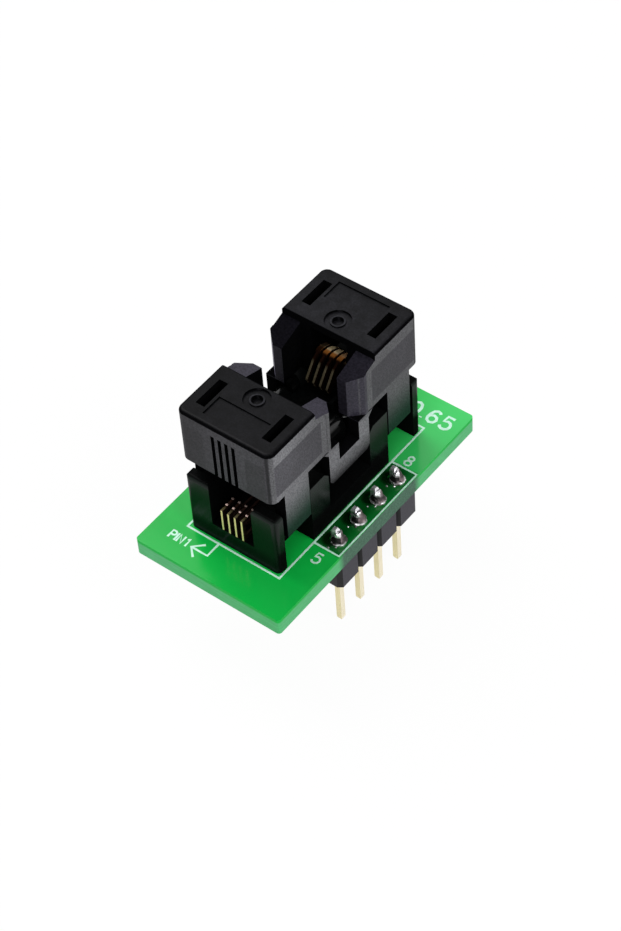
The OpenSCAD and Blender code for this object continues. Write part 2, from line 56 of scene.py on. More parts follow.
MM = 0.001
BOARD_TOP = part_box("board")[1].z
BOARD_Z = BOARD_TOP / MM
FIXED_BODY = "adapter"
STRIP_NODES = ("header_strip_left", "header_strip_right")
PIN_NODES = [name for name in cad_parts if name.startswith("header_pin_")]
CONTACTS = 8
FOOT_NODES = [f"contact_{n}" for n in range(1, CONTACTS + 1)]
ARM_NODES = [f"contact_arm_{n}" for n in range(1, CONTACTS + 1)]

# Distance between the contacts in millimetres
LEAD_PITCH = 0.65

# Noise of a spark-grained surface: cells in a millimetre, and detail
SPARK_GRAIN = (7.0, 4.0)

# Most of a noise lies between these values
NOISE_LOW, NOISE_HIGH = 0.3, 0.7


def box_mm(name):
    """Lowest and highest corners of a CAD node in millimetres."""
    return [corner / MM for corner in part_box(name)]


def linear(red, green, blue):
    """Colour as the renderer counts it, from the 0 to 255 values of a paint chip."""
    def channel(value):
        share = value / 255
        return share / 12.92 if share <= 0.04045 else ((share + 0.055) / 1.055) ** 2.4
    return channel(red), channel(green), channel(blue)


def colour_prop(name, description, chip):
    return FloatVectorProperty(
        name=name, description=description, subtype="COLOR", size=3, min=0, max=1, default=linear(*chip)
    )


def length_prop(name, description, millimetres):
    return FloatProperty(
        name=name, description=description, default=millimetres * MM,
        unit="LENGTH", subtype="DISTANCE", precision=5,
    )


def angle_prop(name, description, degrees):
    return FloatProperty(name=name, description=description, default=math.radians(degrees), subtype="ANGLE")


class SocketFinishes(bpy.types.PropertyGroup):
    """Colours of the pieces."""

    plastic_black: colour_prop("Plastic, inside", "Inner faces and bevels of the socket", (7, 7, 8))
    plastic_top: colour_prop("Plastic, smooth", "Smooth top faces of the socket", (19, 19, 22))
    # The greys of the grained faces, their frames and the cheeks are partly the plastic's grain and partly
    # painted light
    plastic_side: colour_prop("Plastic, grained", "Spark-grained side faces of the cover", (60, 59, 64))
    plastic_frame: colour_prop("Plastic, frame", "Plain frame round the grained side faces", (84, 84, 87))
    plastic_cheek: colour_prop("Plastic, cheeks", "Slanted faces of the cheeks", (46, 44, 53))
    base_black: colour_prop("Base plastic", "Plastic of the base", (9, 10, 10))
    # Green of the board drawn on the outer faces of the base and the ends of the cover's legs as a painted
    # reflection
    base_board_reflection: colour_prop("Base, outside", "Outer faces of the base, tinged by the board", (4, 16, 10))
    board_green: colour_prop("Solder mask", "Green lacquer of the board", (15, 174, 66))
    # Darker grey-green drawn on the edge beside the header as painted shade, with grain
    board_edge_shade: colour_prop("Board edge, rough", "Rough edge of the board beside the header", (68, 104, 84))
    board_edge: colour_prop("Board edge", "Cut glass-fibre edge of the board", (85, 177, 115))
    print_white: colour_prop("Printed marks", "Ink of the printed marks", (194, 236, 216))
    strip_dark: colour_prop("Header plastic", "Plastic strips of the header", (42, 40, 49))
    pin_gold: colour_prop("Header pins", "Pale plating of the header pins", (240, 226, 180))
    # Paler colour drawn on the faces of the pins across X
    pin_pale: colour_prop("Header pins, polished", "Polished faces of the header pins", (242, 232, 204))
    contact_gold: colour_prop("Contacts", "Plating of the contact feet", (230, 214, 150))
    arm_copper: colour_prop("Contact loops", "Plating of the loops of the arms", (236, 150, 72))
    # Cream drawn on the backs of the loops as a painted highlight
    arm_highlight: colour_prop("Contact loops, rubbed", "Rubbed backs of the loops of the arms", (255, 230, 182))
    arm_gold: colour_prop("Contact fingers", "Plating of the fingers of the arms", (68, 62, 48))
    # Dark colour of the contacts where no gold or copper shows: painted shade
    contact_shade: colour_prop("Contact flanks", "Dark blanked sides of the contacts", (30, 15, 9))
    # Pale pink drawn on the bumps of the feet, darker in the inner row
    contact_bump: colour_prop("Contact bumps", "Worn bumps on the contact feet", (206, 178, 168))
    # Colour of solder; on the joints it also gives painted highlights on the tips and rims
    solder_grey: colour_prop("Solder", "Bright tips and rims of the solder joints", (236, 234, 238))
    solder_dull: colour_prop("Solder, dull", "Dull flanks of the solder joints", (90, 79, 81))


class SocketMarks(bpy.types.PropertyGroup):
    """Sizes of the printed marks and the solder joints."""

    line_width: length_prop("Line width", "Width of a printed line", 0.25)
    arrow_width: length_prop("Arrow width", "Width of the strokes of the arrow", 0.2)
    figure_width: length_prop("Figure width", "Width of the strokes of the figures", 0.18)
    number_width: length_prop("Number width", "Width of the strokes of the pitch figure", 0.26)
    ink_height: length_prop("Ink height", "Thickness of the printed ink", 0.03)
    outline_x: length_prop("Outline half width", "Half the width of the socket outline", 4.545)
    outline_y: length_prop("Outline half length", "Half the length of the socket outline", 9.44)
    row_x: length_prop("Row distance", "Distance from the middle to a row of header pins", 5.715)
    box_w: length_prop("Header box width", "Width of the box round a row of pins", 2.54)
    box_l: length_prop("Header box length", "Length of the box round a row of pins", 10.16)
    solder_r: length_prop("Solder radius", "Radius of the foot of a solder joint", 0.66)
    solder_h: length_prop("Solder height", "Height of a solder joint", 1.08)
    solder_lean: length_prop("Solder lean", "How far the foot of a solder joint lies outside its pin", 0.3)


class SocketStudio(bpy.types.PropertyGroup):
    """Camera and light."""

    azimuth: angle_prop("Azimuth", "Camera angle round the object", 40.99)
    elevation: angle_prop("Elevation", "Camera angle above the horizon", 48.58)
    roll: angle_prop("Roll", "Camera turn about its own axis", -4.55)
    distance: length_prop("Distance", "Distance from the camera to its target", 194.0)
    target_x: length_prop("Target X", "Place of the camera's target across the board", -0.5)
    target_y: length_prop("Target Y", "Place of the camera's target along the board", 1.04)
    lens: FloatProperty(name="Lens", description="Focal length in millimetres", default=94.33, min=10)
    ambient: FloatProperty(name="Ambient", description="Level of the even light", default=0.35, min=0)
    key: FloatProperty(name="Key", description="Level of the light from the left", default=0.7, min=0)
    fill: FloatProperty(name="Fill", description="Level of the light from the right", default=0.45, min=0)
    front: FloatProperty(name="Front", description="Level of the light from the front", default=0.25, min=0)


class Value:
    """One output of a finish's node. Arithmetic on it adds Math nodes."""

    def __init__(self, finish, socket):
        self.finish = finish
        self.socket = socket

    def maths(self, operation, *others):
        return self.finish.node("ShaderNodeMath", {"operation": operation}, [self, *others])

    def __add__(self, other):
        return self.maths("ADD", other)

    def __mul__(self, other):
        return self.maths("MULTIPLY", other)

    def __sub__(self, other):
        return self.maths("SUBTRACT", other)

    def __rsub__(self, other):
        return self.finish.node("ShaderNodeMath", {"operation": "SUBTRACT"}, [other, self])

    def __abs__(self):
        return self.maths("ABSOLUTE")

    __radd__ = __add__
    __rmul__ = __mul__

    def ramp(self, low, high, start=0.0, end=1.0):
        """Smooth step from start to end while the value goes from low to high."""
        return self.finish.node(
            "ShaderNodeMapRange", {"interpolation_type": "SMOOTHSTEP"}, [self, low, high, start, end]
        )

    def fall(self, low, high):
        """Smooth step from one down to nothing while the value goes from low to high."""
        return self.ramp(low, high, 1.0, 0.0)

    def between(self, low, high, soft):
        """One between two values, with soft borders after each of them."""
        return self.ramp(low, low + soft) * self.fall(high, high + soft)

    def spread(self, least=0.0, most=1.0):
        """A noise stretched over the range from least to most."""
        return self.ramp(NOISE_LOW, NOISE_HIGH, least, most)


class Finish:
    """A material on the Principled shader, with short ways to add and link nodes."""

    def __init__(self, name, **constants):
        self.material = bpy.data.materials.new(name)
        self.material.use_nodes = True
        self.tree = self.material.node_tree
        self.surface = self.tree.nodes["Principled BSDF"]
        for key, value in constants.items():
            self.feed(key.replace("_", " ").title().replace("Ior", "IOR"), value)

    def node(self, kind, settings=None, inputs=(), output=0):
        made = self.tree.nodes.new(kind)
        for key, value in (settings or {}).items():
            setattr(made, key, value)
        for key, value in inputs.items() if isinstance(inputs, dict) else enumerate(inputs):
            self.link(made.inputs[key], value)
        return Value(self, made.outputs[output])

    def link(self, socket, value):
        if isinstance(value, Value):
            self.tree.links.new(value.socket, socket)
        else:
            socket.default_value = value

    def feed(self, socket_name, value):
        """Sets or links an input of the shader."""
        self.link(self.surface.inputs[socket_name], (*value, 1) if isinstance(value, tuple) else value)

    def place(self):
        """Object coordinates in millimetres."""
        spot = self.node("ShaderNodeTexCoord", output="Object")
        return self.node("ShaderNodeMapping", inputs={"Vector": spot, "Scale": (1 / MM,) * 3})

    def axes(self, vector):
        """The three parts of a vector."""
        parts = self.node("ShaderNodeSeparateXYZ", inputs=[vector]).socket.node
        return [Value(self, out) for out in parts.outputs]

    def facing(self):
        """The three parts of the surface's own normal."""
        return self.axes(self.node("ShaderNodeTexCoord", output="Normal"))

    def noise(self, place, per_mm, detail=3.0):
        return self.node("ShaderNodeTexNoise", inputs={"Vector": place, "Scale": per_mm, "Detail": detail})

    def blend(self, mask, first, second):
        """Colour that goes from the first to the second with the mask."""
        ends = [colour if isinstance(colour, Value) else (*colour, 1) for colour in (first, second)]
        return self.node("ShaderNodeMix", {"data_type": "RGBA"}, {0: mask, 6: ends[0], 7: ends[1]}, output=2)

    def layered(self, shade, *layers):
        """The shade with tones laid over it in turn, each through its own mask."""
        for mask, tone in layers:
            shade = self.blend(mask, shade, tone)
        return shade

    def uneven(self, noise, colour, least, most):
        """The colour, scaled between two shares by a noise."""
        return self.blend(noise.spread(), tint(colour, least), tint(colour, most))

    def scaled(self, colour, share):
        """The colour made lighter or darker by a share that changes over the surface."""
        return self.node("ShaderNodeVectorMath", {"operation": "SCALE"}, {"Vector": colour, "Scale": share})

    def highest(self, first, *others):
        """The greatest of several masks."""
        for other in others:
            first = first.maths("MAXIMUM", other)
        return first

    def bump(self, height, depth_mm, strength):
        self.feed("Normal", self.node(
            "ShaderNodeBump", inputs={"Strength": strength, "Distance": depth_mm * MM, "Height": height}
        ))

    def paint(self, *nodes):
        """Gives the finish to CAD nodes."""
        for name in nodes:
            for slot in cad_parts[name].material_slots:
                slot.material = self.material

    def dress(self, piece):
        """Gives the finish to a made piece."""
        piece.data.materials.clear()
        piece.data.materials.append(self.material)


def tint(colour, share):
    """The colour made lighter or darker by a share."""
    return tuple(min(1.0, part * share) for part in colour)


def direction(turn, rise):
    """Unit vector turned from the front of the object and raised from the horizon by angles."""
    return Vector((math.sin(turn) * math.cos(rise), -math.cos(turn) * math.cos(rise), math.sin(rise)))


def deselect():
    if bpy.context.object and bpy.context.object.mode != "OBJECT":
        bpy.ops.object.mode_set(mode="OBJECT")
    bpy.ops.object.select_all(action="DESELECT")


def lone_point(spot):
    """A mesh of one selected point, left in edit mode."""
    deselect()
    bpy.ops.mesh.primitive_plane_add(size=MM, location=spot)
    made = bpy.context.object
    bpy.ops.object.transform_apply(location=True, rotation=True, scale=True)
    bpy.ops.object.mode_set(mode="EDIT")
    bpy.ops.mesh.select_all(action="SELECT")
    bpy.ops.mesh.merge(type="CENTER")
    return made


def draw_through(points):
    """Extrudes the selected point through the rest of the points."""
    for start, end in zip(points, points[1:]):
        bpy.ops.mesh.extrude_vertices_move(TRANSFORM_OT_translate={"value": end - start})


def printed_line(points, width, marks, closed=False):
    """A flat printed line of a width, through points given in millimetres on the board."""
    spots = [Vector((x * MM, y * MM, BOARD_TOP)) for x, y in points]
    line = lone_point(spots[0])
    draw_through(spots + spots[:1] if closed else spots)
    bpy.ops.mesh.select_all(action="SELECT")
    bpy.ops.mesh.remove_doubles(threshold=MM / 1000)
    bpy.ops.object.mode_set(mode="OBJECT")
    bpy.ops.object.convert(target="CURVE")
    line.data.bevel_depth = width / 2
    line.data.bevel_resolution = 2
    line.data.use_fill_caps = True
    bpy.ops.object.convert(target="MESH")
    bpy.ops.object.mode_set(mode="EDIT")
    bpy.ops.mesh.select_all(action="SELECT")
    bpy.ops.transform.resize(
        value=(1, 1, marks.ink_height / width), center_override=(0, 0, BOARD_TOP)
    )
    bpy.ops.object.mode_set(mode="OBJECT")
    return line


def join(objects, name):
    """Makes several objects one piece."""
    deselect()
    for part in objects:
        part.select_set(True)
    bpy.context.view_layer.objects.active = objects[0]
    bpy.ops.object.join()
    piece = bpy.context.object
    piece.name = name
    return piece


# Each figure is one stroke, in a box one unit high
FIGURES = {
    "P": [(0, 0), (0, 1), (0.35, 1), (0.5, 0.9), (0.55, 0.75), (0.5, 0.6), (0.35, 0.5), (0, 0.5)],
    "I": [(0, 0), (0, 1)],
    "N": [(0, 0), (0, 1), (0.55, 0), (0.55, 1)],
    "1": [(0, 0.8), (0.22, 1), (0.22, 0)],
    "4": [(0.45, 0), (0.45, 1), (0, 0.32), (0.62, 0.32)],
    "5": [(0.58, 1), (0.1, 1), (0.05, 0.56), (0.3, 0.66), (0.5, 0.6), (0.6, 0.45), (0.62, 0.3),
          (0.55, 0.12), (0.4, 0.01), (0.22, 0), (0.08, 0.06), (0, 0.18)],
    "6": [(0.58, 0.86), (0.48, 0.97), (0.32, 1), (0.14, 0.9), (0.03, 0.62), (0, 0.32), (0.08, 0.1), (0.3, 0),
          (0.52, 0.08), (0.62, 0.3), (0.52, 0.52), (0.32, 0.6), (0.1, 0.52), (0.01, 0.38)],
    "8": [(0.3, 0.53), (0.12, 0.62), (0.06, 0.77), (0.13, 0.93), (0.3, 1), (0.47, 0.93), (0.54, 0.77),
          (0.48, 0.62), (0.3, 0.53), (0.09, 0.42), (0, 0.26), (0.09, 0.07), (0.3, 0), (0.51, 0.07),
          (0.6, 0.26), (0.51, 0.42), (0.3, 0.53)],
    "0": [(0.3, 0), (0.1, 0.1), (0, 0.35), (0, 0.65), (0.1, 0.9), (0.3, 1), (0.5, 0.9), (0.6, 0.65),
          (0.6, 0.35), (0.5, 0.1), (0.3, 0)],
    ".": [(0, 0), (0, 0.08)],
}


def printed_figures(text, corner, height, steps, width, marks):
    """Figures along X from a lower left corner; steps are the figures' distances from it in millimetres."""
    lines = []
    for figure, step in zip(text, steps):
        stroke = [(corner[0] + step + x * height, corner[1] + y * height) for x, y in FIGURES[figure]]
        lines.append(printed_line(stroke, width, marks))
    return lines


class SOCKET_OT_cover(bpy.types.Operator):
    """Black moulded plastic of the cover: grained sides, smooth tops, black bevels and inner faces, with
    painted light and shade by face and by place
    """

    bl_idname = "socket.cover"
    bl_label = "Finish the cover"

    # Places along the cover, in millimetres from its middle: behind the noses of the cheeks, the outer edges
    # of the columns, the inner faces of the heads, inside the legs, the dimples and the grained panels
    NOSE_Y = 1.3
    COLUMN_Y = 2.5
    HEAD_Y = 3.7
    LEG_Y = 4.7
    DIMPLE_Y = 4.97
    PANEL_Y = (3.1, 8.65)

    # Heights in millimetres: from the tops down to the grained panels, from the tops down to just below
    # the cheeks, and from the board up to the bars
    PANEL_DROP = 1.5
    CHEEK_DROP = 5.5
    BAR_RISE = 4.2

    # Radii of the lip round the hole in a dimple, in millimetres
    LIP_R = (0.46, 0.58)

    def execute(self, context):
        colours = context.scene.socket_finishes
        low, high = box_mm("floating_cover")
        finish = Finish("black_cover_plastic", specular_ior_level=0.0, coat_roughness=0.38)
        place = finish.place()
        x, y, z = finish.axes(place)
        nx, ny, nz = finish.facing()
        grain = finish.noise(place, *SPARK_GRAIN)
        cloud = finish.noise(place, 0.45, 2.0)
        smudge = finish.noise(place, 1.3, 4.0)

        # Parts of the cover, by their place
        on_head = abs(y).ramp(self.HEAD_Y, self.HEAD_Y + 0.1)
        on_cheek = 1 - on_head
        raised = z.ramp(high.z - self.CHEEK_DROP, high.z - self.CHEEK_DROP + 0.2)
        at_back = y.ramp(-0.2, 0.2)
        at_left = x.fall(-0.2, 0.2)
        # Grows towards the back; on the sides it carries painted shade
        far = y.ramp(-8.5, -2.0)
        bar_z = BOARD_Z + self.BAR_RISE
        bar = abs(y).fall(self.COLUMN_Y, self.COLUMN_Y + 0.1) * z.fall(bar_z + 3.2, bar_z + 4.2)
        # Foot of each bar, which gets painted shade
        bar_foot = bar * z.fall(bar_z - 0.2, bar_z + 1.1)
        # Lower ends of the legs, which get a painted reflection of the board
        leg_end = abs(y).ramp(self.LEG_Y, self.LEG_Y + 0.2) * z.fall(low.z + 0.4, low.z + 4.9)

        # Faces, by the way they are turned
        upright = abs(nz).fall(0.1, 0.2)
        side = upright * abs(nx).ramp(0.35, 0.75) * abs(x).ramp(high.x - 0.4, high.x - 0.2)
        front = upright * abs(ny).ramp(0.35, 0.75) * abs(y).ramp(high.y - 0.4, high.y - 0.2) * (1 - side)
        flat = on_head * nz.ramp(0.7, 0.99) * z.ramp(high.z - 0.8, high.z - 0.6)
        slope = on_cheek * nz.ramp(0.9, 0.93) * nz.fall(0.965, 0.985)
        slant = on_cheek * raised * abs(nx).ramp(0.6, 0.68) * abs(ny).ramp(0.6, 0.68)
        nose = raised * abs(ny).ramp(0.85, 0.95) * abs(y).fall(self.NOSE_Y, self.NOSE_Y + 0.1)
        # Rounded upright corners of the heads, which get painted shade
        corner = on_head * upright * finish.highest(
            nx.ramp(0.2, 0.4) * nx.fall(0.5, 0.75), ny.ramp(0.05, 0.2) * nx.ramp(0.6, 0.85)
        )

        # Grained panels inside plain frames, and the lip round the hole in each dimple, which gets a painted
        # highlight
        below_edge = z.fall(high.z - self.PANEL_DROP, high.z - self.PANEL_DROP + 0.15)
        side_panel = below_edge * abs(y).between(*self.PANEL_Y, 0.15) * z.ramp(low.z + 5.35, low.z + 5.5)
        front_panel = below_edge * abs(x).ramp(1.95, 2.05) * abs(x).fall(3.8, 3.95)
        off_hole = finish.node("ShaderNodeCombineXYZ", inputs=[x, abs(y) - self.DIMPLE_Y])
        from_hole = finish.node("ShaderNodeVectorMath", {"operation": "LENGTH"}, [off_hole], output="Value")
        lip = nz.ramp(0.8, 0.95) * from_hole.between(*self.LIP_R, 0.04)

        cheek_side = side * raised * at_back * abs(y).fall(self.COLUMN_Y - 0.05, self.COLUMN_Y) * (1 - bar)
        shade = finish.layered(
            finish.blend(flat, colours.plastic_black, tint(colours.plastic_top, 0.55)),
            # Painted light and shade on the tops: the back head's top lighter, its back edge and the left of
            # the front head's top darker
            (flat * at_back, tint(colours.plastic_top, 1.1)),
            (flat * y.ramp(6.5, 9.3) * 0.7, tint(colours.plastic_top, 0.2)),
            (flat * (1 - at_back) * x.fall(-4.6, -1.0) * 0.6, tint(colours.plastic_top, 0.1)),
            (slope, colours.plastic_cheek),
            # Painted shade on the slopes of the back cheeks, deepest on the left, and painted light on the
            # left slants
            (slope * at_back, tint(colours.plastic_cheek, 0.36)),
            (slope * at_back * at_left, tint(colours.plastic_cheek, 0.14)),
            (slant, tint(colours.plastic_cheek, 1.15)),
            (slant * at_left, tint(colours.plastic_cheek, 5)),
            (nose, tint(colours.plastic_cheek, 0.6)),
            # The front faces are a darker copy of the grey than the sides, and darker again on the left:
            # painted shade
            (front, tint(colours.plastic_side, 0.85)),
            (front * front_panel, tint(colours.plastic_side, 0.55)),
            (front * x.fall(-4.4, 0.5) * 0.8, tint(colours.plastic_side, 0.3)),
            # The side faces are a lighter copy of the grey, partly from their grain and partly painted light,
            # and darker towards the back as painted shade
            (side, tint(colours.plastic_frame, 1.7)),
            (side * y.fall(-8.8, -8.65), tint(colours.plastic_frame, 0.95)),
            (side * far, tint(colours.plastic_frame, 0.8)),
            (side * side_panel, tint(colours.plastic_side, 1.25)),
            (side * side_panel * far, tint(colours.plastic_side, 0.8)),
            # Painted reflection of the board on the lower ends of the legs
            (side * leg_end, tint(colours.base_board_reflection, 5)),
            # Painted light on the upper part of each bar and painted shade on its foot
            (side * bar * z.ramp(bar_z + 0.9, bar_z + 2.0), tint(colours.plastic_frame, 1.5)),
            (side * bar_foot, tint(colours.plastic_frame, 0.1)),
            (cheek_side, tint(colours.plastic_cheek, 1.15)),
            # Painted shade on the rounded upright corners and a painted highlight on the lip of each dimple
            (corner, tint(colours.plastic_side, 0.25)),
            (lip, tint(colours.plastic_top, 2.2)),
        )
        speckle = grain.spread(0.66, 1.34) * cloud.spread(0.92, 1.08) * (1 + flat * smudge.spread(-0.3, 0.3))
        finish.feed("Base Color", finish.scaled(shade, speckle))
        side_sheen = far.ramp(0, 1, 0.44, 0.36) * (1 - leg_end * 0.6) * (1 - bar_foot * 0.85)
        finish.feed("Coat Weight", finish.highest(
            flat * at_back.ramp(0, 1, 0.12, 0.16), slope * (1 - at_back) * 0.3, slant * 0.3, nose * 0.12,
            front * 0.34, side * side_sheen
        ))
        finish.feed("Roughness", 0.5 + grain * 0.3)
        finish.bump(grain * (side + front), 0.02, 0.5)
        finish.paint("floating_cover")
        return {"FINISHED"}


class SOCKET_OT_base(bpy.types.Operator):
    """Satin black base, which mirrors the board through its coat and through a painted reflection of the
    board's green on its outer faces, and the glossy nest
    """

    bl_idname = "socket.base"
    bl_label = "Finish the base and the nest"

    def dress_base(self, colours):
        base = Finish("black_base_plastic", specular_ior_level=0.0, coat_roughness=0.22)
        place = base.place()
        x, y, z = base.axes(place)
        nx, ny, _ = base.facing()
        low, high = box_mm("socket_base")
        grain = base.noise(place, *SPARK_GRAIN)
        sides = abs(nx).ramp(0.5, 0.9) * abs(x).ramp(high.x - 0.3, high.x - 0.15)
        ends = abs(ny).ramp(0.5, 0.9) * abs(y).ramp(high.y - 0.3, high.y - 0.15)
        # Outer faces, which get the painted reflection of the board
        outer = base.highest(sides * z.ramp(low.z + 3.4, low.z + 4.4), ends)
        plain = base.uneven(grain, colours.base_black, 0.6, 1.1)
        base.feed("Base Color", base.blend(outer, plain, colours.base_board_reflection))
        on_post = z.ramp(low.z + 2.6, low.z + 3.8, 0.12, 0.33)
        base.feed("Coat Weight", outer * on_post + 0.03)
        base.feed("Roughness", 0.45 + grain * 0.2)
        base.bump(grain * outer, 0.015, 0.35)
        base.paint("socket_base")

    def dress_nest(self, colours):
        nest = Finish("glossy_nest_plastic", specular_ior_level=0.0, coat_roughness=0.12)
        place = nest.place()
        spots = nest.noise(place, 4.0)
        nest.feed("Base Color", nest.uneven(spots, colours.base_black, 0.3, 0.6))
        shoulder = abs(nest.axes(place)[0]).ramp(2.3, 2.6) * nest.facing()[2].ramp(0.5, 0.75)
        nest.feed("Coat Weight", 0.04 + shoulder * (0.7 + spots * 0.4))
        nest.feed("Roughness", 0.3 + spots * 0.2)
        nest.paint("package_nest")

    def execute(self, context):
        self.dress_base(context.scene.socket_finishes)
        self.dress_nest(context.scene.socket_finishes)
        return {"FINISHED"}


class SOCKET_OT_board(bpy.types.Operator):
    """Glossy green solder mask with a cut glass-fibre edge"""

    bl_idname = "socket.board"
    bl_label = "Finish the board"

    # How far the painted shadows of the joints lie to the left of the pins and in front of them, in
    # millimetres
    JOINT_SHADOW_LEFT = 0.28
    JOINT_SHADOW_FRONT = 0.24

    def lacquer(self, finish, place, colours, marks):
        """Green of the top: painted reflection lighter at the far corner and darker in front, dark in the
        header boxes, painted shadows beside the joints.
        """
        x, y, _ = finish.axes(place)
        green = colours.board_green
        row_x = marks.row_x / MM
        half_w, half_l = marks.box_w / MM / 2, marks.box_l / MM / 2
        half_pitch = half_l / 4
        # Painted reflection: the lacquer lighter towards the far corner and darker in front of the socket
        far_corner = x.ramp(0, 6) * y.ramp(0, 6)
        boxed = abs(abs(x) - row_x).fall(half_w - 0.1, half_w + 0.1) * abs(y).fall(half_l - 0.3, half_l + 0.3)
        # Painted shadow of each joint: a dark spot to the left of its pin
        across = abs(x + self.JOINT_SHADOW_LEFT) - row_x
        along = half_pitch - (y + self.JOINT_SHADOW_FRONT).maths("PINGPONG", half_pitch)
        joint_shadow = boxed * (across * across + along * along).maths("SQRT").fall(0.5, 1.0)
        return finish.layered(
            finish.uneven(finish.noise(place, 0.35, 2.0), green, 0.94, 1.06),
            (far_corner, tint(green, 1.15)),
            (far_corner * 0.28, tint(colours.board_edge, 1.2)),
            (y.fall(-10.5, -8.5), tint(green, 0.88)),
            (boxed, tint(green, 0.16)),
            (boxed * abs(x).ramp(row_x, row_x + half_w), tint(green, 0.3)),
            (joint_shadow, tint(green, 0.02)),
        )

    def cut(self, finish, place, colours, marks):
        """Pale layered edge with lacquer over its rim, with painted shade and grain beside the header."""
        x, y, z = finish.axes(place)
        low, high = box_mm("board")
        half_l = marks.box_l / MM / 2
        flattened = finish.node("ShaderNodeMapping", inputs={"Vector": place, "Scale": (0.4, 0.4, 5)})
        shaded = finish.uneven(finish.noise(place, *SPARK_GRAIN), colours.board_edge_shade, 0.7, 1.1)
        beside = abs(y).fall(half_l - 0.6, half_l + 0.4) * abs(x).ramp(high.x - 0.3, high.x - 0.1)
        front = x.ramp(low.x, high.x, 0, 0.1) * y.fall(low.y + 0.1, low.y + 0.3)
        return finish.layered(
            finish.uneven(finish.noise(flattened, 2.0), colours.board_edge, 0.9, 1.06),
            (z.ramp(high.z - 0.42, high.z - 0.22), tint(colours.board_green, 0.95)),
            (front, colours.board_green),
            (beside, shaded),
        )

    def execute(self, context):
        colours = context.scene.socket_finishes
        marks = context.scene.socket_marks
        finish = Finish("green_solder_mask", specular_ior_level=0.0, coat_roughness=0.16)
        place = finish.place()
        x, y, _ = finish.axes(place)
        flat = abs(finish.facing()[2]).ramp(0.4, 0.8)
        top = self.lacquer(finish, place, colours, marks)
        finish.feed("Base Color", finish.blend(flat, self.cut(finish, place, colours, marks), top))
        finish.feed("Roughness", 0.6 - flat * 0.28)
        near_end = x.fall(-1.0, 3.0) * y.fall(-11.0, -4.0)
        finish.feed("Coat Weight", 0.25 + flat * (0.7 - near_end * 0.45))
        finish.bump(finish.noise(place, 0.9, 2.0), 0.01, 0.06)
        finish.paint("board")
        return {"FINISHED"}


class SOCKET_OT_marks(bpy.types.Operator):
    """Printed outline, header boxes, arrow and plain figures on the board"""

    bl_idname = "socket.marks"
    bl_label = "Print the marks"

    # The arrow at lead 1, in millimetres on the board
    ARROW_X = -1.39
    ARROW_TIP = (-3.0, -10.9)
    ARROW_STEM_END = (-2.95, -10.9)
    ARROW_BARBS = ((-2.16, -10.13), (-2.23, -11.64))

    # Lower left corners of the pin numbers, and their height
    NUMBERS = {"5": (5.42, -6.7), "8": (5.38, 5.42), "4": (-6.0, -6.7), "1": (-5.85, 5.42)}
    NUMBER_H = 1.0

    # Lower left corner, height and steps of the words
    LEAD_WORD = ((-5.18, -11.17), 0.8, (0, 0.62, 0.82, 1.55))
    PITCH_WORD = ((2.3, 10.22), 1.36, (0, 1.28, 1.75, 3.05))

    def lines(self, marks):
        x, y = marks.outline_x / MM, marks.outline_y / MM
        outline = [(-x, -y), (x, -y), (x, y), (-x, y)]
        lines = [printed_line(outline, marks.line_width, marks, closed=True)]
        half_w, half_l = marks.box_w / MM / 2, marks.box_l / MM / 2
        for side in (-1, 1):
            outer = side * (marks.row_x / MM + half_w)
            box = [(side * x, -half_l), (outer, -half_l), (outer, half_l), (side * x, half_l)]
            lines.append(printed_line(box, marks.arrow_width, marks))
        bend = (self.ARROW_X, self.ARROW_TIP[1])
        stem = [(self.ARROW_X, -y), bend, self.ARROW_STEM_END]
        head = [self.ARROW_BARBS[0], self.ARROW_TIP, self.ARROW_BARBS[1]]
        lines += [printed_line(stroke, marks.arrow_width, marks) for stroke in (stem, head)]
        return join(lines, "printed_lines")

    def figures(self, marks):
        figures = printed_figures("PIN1", *self.LEAD_WORD, marks.figure_width, marks)
        for number, corner in self.NUMBERS.items():
            figures += printed_figures(number, corner, self.NUMBER_H, (0,), marks.figure_width, marks)
        figures += printed_figures("0.65", *self.PITCH_WORD, marks.number_width, marks)
        return join(figures, "printed_figures")

    def execute(self, context):
        marks = context.scene.socket_marks
        colour = context.scene.socket_finishes.print_white
        ink = Finish("printing_ink", roughness=0.5, specular_ior_level=0.3)
        worn = ink.noise(ink.place(), 2.5).ramp(0.25, 0.75)
        ink.feed("Base Color", ink.blend(worn, tint(colour, 0.82), colour))
        for printed in (self.lines(marks), self.figures(marks)):
            ink.dress(printed)
            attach(printed, FIXED_BODY)
        return {"FINISHED"}


